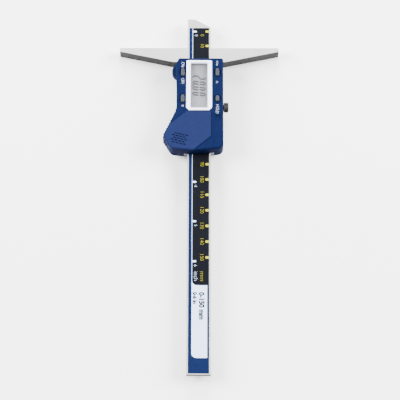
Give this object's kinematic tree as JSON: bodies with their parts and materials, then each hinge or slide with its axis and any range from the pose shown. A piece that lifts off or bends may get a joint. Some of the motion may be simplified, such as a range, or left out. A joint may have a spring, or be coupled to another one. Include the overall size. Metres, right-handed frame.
{
  "type": "digital depth caliper",
  "caption": "Digital depth caliper: a tapered steel base bar, a sliding depth beam with a printed scale, and a blue readout housing with display, buttons and lock screw.",
  "frame": {"origin": "on the measuring face, in line with the middle of the depth beam, at the back face the caliper lies on", "axes": "+Y out of the measuring face towards the beam's tip, +Z out of the display, +X towards the lock screw"},
  "size_m": [0.1, 0.2305, 0.0161],
  "materials": {
    "ground_steel": "ground stainless steel, satin",
    "slider_steel": "milled stainless steel",
    "screw_steel": "dark plated steel",
    "bronze": "bronze strip, satin",
    "knob_steel": "knurled steel",
    "beam_steel": "ground stainless steel, fine lengthwise grain",
    "circuit_green": "green glass-epoxy board",
    "scale_print": "printed film, charcoal and blue",
    "blue_plastic": "moulded plastic, fine texture",
    "white_plastic": "moulded white plastic",
    "clear_window": "clear acrylic",
    "display_grey": "reflective display glass",
    "tray_plastic": "moulded white plastic",
    "strip_rubber": "layered silicone",
    "chip_epoxy": "black epoxy",
    "nickel": "nickel-plated steel",
    "switch_plastic": "black plastic",
    "button_grey": "grey moulded plastic",
    "cover_blue": "moulded plastic, fine texture",
    "gold_plate": "gold-plated contact"
  },
  "bodies": {
    "slider": {"base_crossbar": "ground_steel", "slider_frame": "slider_steel", "base_screws": "screw_steel", "gib_strip": "bronze", "gib_screws": "screw_steel", "housing": "blue_plastic", "grip_back": "blue_plastic", "housing_screws": "screw_steel", "lcd_bezel": "white_plastic", "lcd_lens": "clear_window", "lcd_glass": "display_grey", "lcd_tray": "tray_plastic", "contact_strips": "strip_rubber", "main_board": "circuit_green", "chip_cap": "chip_epoxy", "quartz_can": "nickel", "key_switches": "switch_plastic", "coin_cell": "nickel", "contact_minus": "gold_plate", "contact_plus": "gold_plate", "data_pads": "gold_plate"},
    "beam": {"beam": "beam_steel", "scale_strip": "circuit_green", "scale_label": "scale_print", "stop_plate": "slider_steel", "stop_screws": "screw_steel"},
    "lock_screw": {"lock_screw": "knob_steel"},
    "button_power": {"button_power": "button_grey"},
    "button_zero": {"button_zero": "button_grey"},
    "button_units": {"button_units": "button_grey"},
    "button_hold": {"button_hold": "button_grey"},
    "battery_cover": {"battery_cover": "cover_blue"},
    "port_cover": {"port_cover": "cover_blue"}
  },
  "joints": [
    {"name": "depth_slide", "type": "slide", "parent": "slider", "child": "beam", "axis": [0, 1, 0], "range_m": [-0.02, 0.13]},
    {"name": "lock_turn", "type": "hinge", "parent": "slider", "child": "lock_screw", "pos_m": [0.0152, -0.04015, 0.00625], "axis": [1, 0, 0], "range_deg": [0, 360]},
    {"name": "battery_cover_slide", "type": "slide", "parent": "slider", "child": "battery_cover", "axis": [-0.766, -0.6428, 0], "range_m": [0, 0.014]},
    {"name": "port_cover_slide", "type": "slide", "parent": "slider", "child": "port_cover", "axis": [0, -1, 0], "range_m": [0, 0.016]},
    {"name": "power_press", "type": "slide", "parent": "slider", "child": "button_power", "axis": [0, 0, -1], "range_m": [0, 0.0005], "stiffness_N_per_m": 400},
    {"name": "zero_press", "type": "slide", "parent": "slider", "child": "button_zero", "axis": [0, 0, -1], "range_m": [0, 0.0005], "stiffness_N_per_m": 400},
    {"name": "units_press", "type": "slide", "parent": "slider", "child": "button_units", "axis": [0, 0, -1], "range_m": [0, 0.0005], "stiffness_N_per_m": 400},
    {"name": "hold_press", "type": "slide", "parent": "slider", "child": "button_hold", "axis": [0, 0, -1], "range_m": [0, 0.0005], "stiffness_N_per_m": 400}
  ]
}
